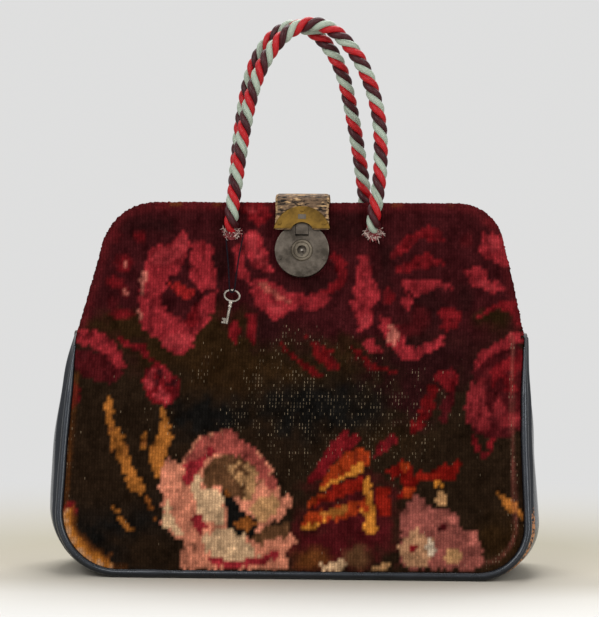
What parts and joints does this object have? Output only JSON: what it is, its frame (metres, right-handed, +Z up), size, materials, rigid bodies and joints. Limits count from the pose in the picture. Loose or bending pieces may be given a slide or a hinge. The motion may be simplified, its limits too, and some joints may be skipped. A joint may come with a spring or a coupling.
{
  "type": "carpet bag",
  "caption": "Carpet travelling bag with hinged steel-framed jaws, leather gusset, rope handles and a hasp over a round lock, with a key on a string.",
  "frame": {"origin": "middle of the footprint on the surface that the bag stands on", "axes": "+Z up, +X along the width to the right as seen from the front, front with the lock towards -Y"},
  "size_m": [0.4324, 0.137, 0.4913],
  "materials": {
    "carpet": "cut and loop wool pile in floral colours, worn to the backing in places",
    "gusset_leather": "black leather, creased and rubbed brown at the corners",
    "piping_leather": "black rolled leather with rubbed edges",
    "strap_leather": "dark brown crackled leather with tan edges",
    "lining_cloth": "plain drab cotton",
    "board": "plain pressed board",
    "frame_steel": "dull strip steel",
    "lock_nickel": "tarnished nickel plate",
    "hasp_brass": "worn brass, dark in the low places",
    "rope": "satin rope of red, maroon and pale strands",
    "rope_end": "rope end and knot",
    "stitching": "frayed pale thread",
    "key_steel": "old steel, slightly brown",
    "string": "thin black string"
  },
  "bodies": {
    "bag": {"front_carpet_lower": "carpet", "back_carpet_lower": "carpet", "front_carpet_fold": "carpet", "back_carpet_fold": "carpet", "gusset": "gusset_leather", "front_piping": "piping_leather", "back_piping": "piping_leather", "lining": "lining_cloth", "bottom_board": "board", "hinge_rivet_left": "frame_steel", "hinge_rivet_right": "frame_steel"},
    "front_jaw": {"front_carpet_upper": "carpet", "front_jaw_lining": "lining_cloth", "front_frame": "frame_steel", "front_rope_ends": "rope_end", "front_eyelets": "stitching", "lock_case": "lock_nickel", "lock_cover": "frame_steel", "lock_boss": "lock_nickel", "lock_drill_pin": "lock_nickel", "lock_backplate": "frame_steel", "lock_rivets": "lock_nickel", "key": "key_steel", "key_string": "string"},
    "back_jaw": {"back_carpet_upper": "carpet", "back_jaw_lining": "lining_cloth", "back_frame": "frame_steel", "back_rope_ends": "rope_end", "back_eyelets": "stitching", "strap_root": "strap_leather", "strap_rivets": "hasp_brass"},
    "hasp": {"hasp_strap": "strap_leather", "hasp_plate": "hasp_brass", "hasp_tongue": "frame_steel", "hasp_rivets": "hasp_brass"},
    "lock_bolt": {"lock_bolt": "frame_steel"},
    "front_handle": {"front_handle": "rope"},
    "back_handle": {"back_handle": "rope"}
  },
  "joints": [
    {"name": "front_jaw_open", "type": "hinge", "parent": "bag", "child": "front_jaw", "pos_m": [0, 0, 0.208], "axis": [1, 0, 0], "range_deg": [0, 20], "deforming": ["front_carpet_fold"]},
    {"name": "back_jaw_open", "type": "hinge", "parent": "bag", "child": "back_jaw", "pos_m": [0, 0, 0.208], "axis": [-1, 0, 0], "range_deg": [0, 20], "deforming": ["back_carpet_fold"]},
    {"name": "hasp_swing", "type": "hinge", "parent": "back_jaw", "child": "hasp", "pos_m": [0, 0.015, 0.331], "axis": [-1, 0, 0], "range_deg": [0, 180]},
    {"name": "lock_bolt_throw", "type": "slide", "parent": "front_jaw", "child": "lock_bolt", "axis": [1, 0, 0], "range_m": [0, 0.005]},
    {"name": "front_handle_swing", "type": "hinge", "parent": "front_jaw", "child": "front_handle", "pos_m": [0, -0.02517, 0.2992], "axis": [1, 0, 0], "range_deg": [0, 110]},
    {"name": "back_handle_swing", "type": "hinge", "parent": "back_jaw", "child": "back_handle", "pos_m": [0, 0.02513, 0.2992], "axis": [-1, 0, 0], "range_deg": [0, 110]}
  ],
  "couplings": [
    {"joint": "back_jaw_open", "follows": "front_jaw_open", "ratio": 1},
    {"joint": "hasp_swing", "follows": "front_jaw_open", "ratio": 9}
  ]
}
